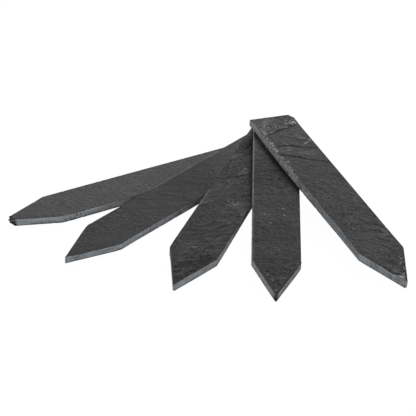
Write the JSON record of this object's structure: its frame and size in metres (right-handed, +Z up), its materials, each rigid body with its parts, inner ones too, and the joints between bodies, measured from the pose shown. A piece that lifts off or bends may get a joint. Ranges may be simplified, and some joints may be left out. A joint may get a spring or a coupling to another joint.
{
  "type": "plant label stake set",
  "caption": "Loose flat slate plant label stakes with square butts and sawn points, fanned out in a heap; each is pushed into soil and written on.",
  "frame": {"origin": "on the floor under the gathered butt ends, on the bottom stake's underside, on its centre line and half its width in from its butt edge", "axes": "+Z up, away from the floor; -Y towards the viewer, the way the points fan out; +X to the viewer's right"},
  "size_m": [0.2445, 0.2071, 0.0267],
  "materials": {
    "slate": "riven faces, sawn edges"
  },
  "bodies": {
    "bottom_stake": {"bottom_stake": "slate"},
    "second_stake": {"second_stake": "slate"},
    "middle_stake": {"middle_stake": "slate"},
    "fourth_stake": {"fourth_stake": "slate"},
    "top_stake": {"top_stake": "slate"}
  },
  "joints": [
    {"name": "second_stake_lift", "type": "slide", "parent": "bottom_stake", "child": "second_stake", "axis": [0, 0, 1], "range_m": [0, 0.05]},
    {"name": "middle_stake_lift", "type": "slide", "parent": "second_stake", "child": "middle_stake", "axis": [0, 0, 1], "range_m": [0, 0.05]},
    {"name": "fourth_stake_lift", "type": "slide", "parent": "middle_stake", "child": "fourth_stake", "axis": [0, 0, 1], "range_m": [0, 0.05]},
    {"name": "top_stake_lift", "type": "slide", "parent": "fourth_stake", "child": "top_stake", "axis": [0, 0, 1], "range_m": [0, 0.05]}
  ]
}
